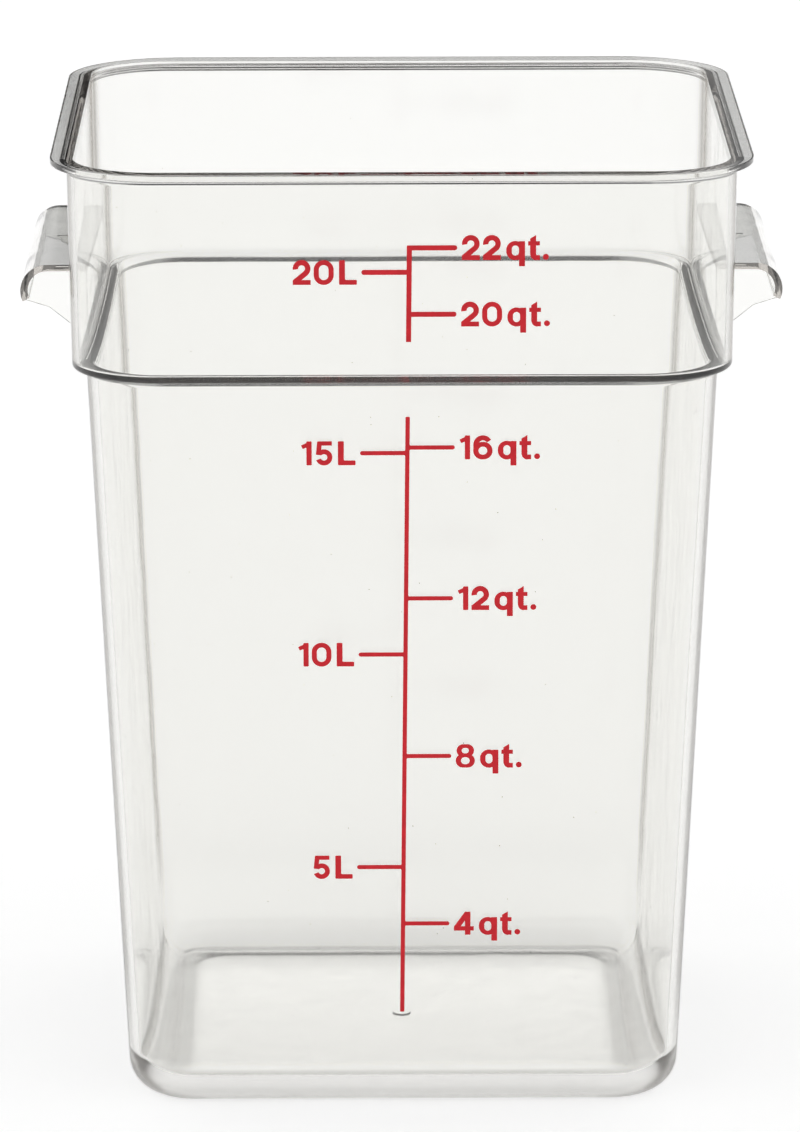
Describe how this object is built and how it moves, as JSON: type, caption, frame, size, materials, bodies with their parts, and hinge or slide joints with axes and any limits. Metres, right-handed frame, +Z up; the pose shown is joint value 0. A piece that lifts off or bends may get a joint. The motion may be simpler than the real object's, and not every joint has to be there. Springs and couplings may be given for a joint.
{
  "type": "square food storage container",
  "caption": "Deep square clear food container with a flanged lid rim, a stepped collar, curled side handles and a printed volume scale. It has no lid.",
  "frame": {"origin": "middle of the square base, on the surface that the container stands on", "axes": "+Z up out of the mouth, +X through the right-hand handle, -Y out of the front wall that carries the printed scale"},
  "size_m": [0.3144, 0.2858, 0.4],
  "materials": {
    "clear_polycarbonate": "injection-moulded clear polycarbonate, glossy",
    "red_ink": "screen-printed red ink, semi-matt"
  },
  "bodies": {
    "root": {"tub": "clear_polycarbonate", "handle_left": "clear_polycarbonate", "handle_right": "clear_polycarbonate", "scale_upper": "red_ink", "scale_lower": "red_ink"}
  },
  "joints": []
}
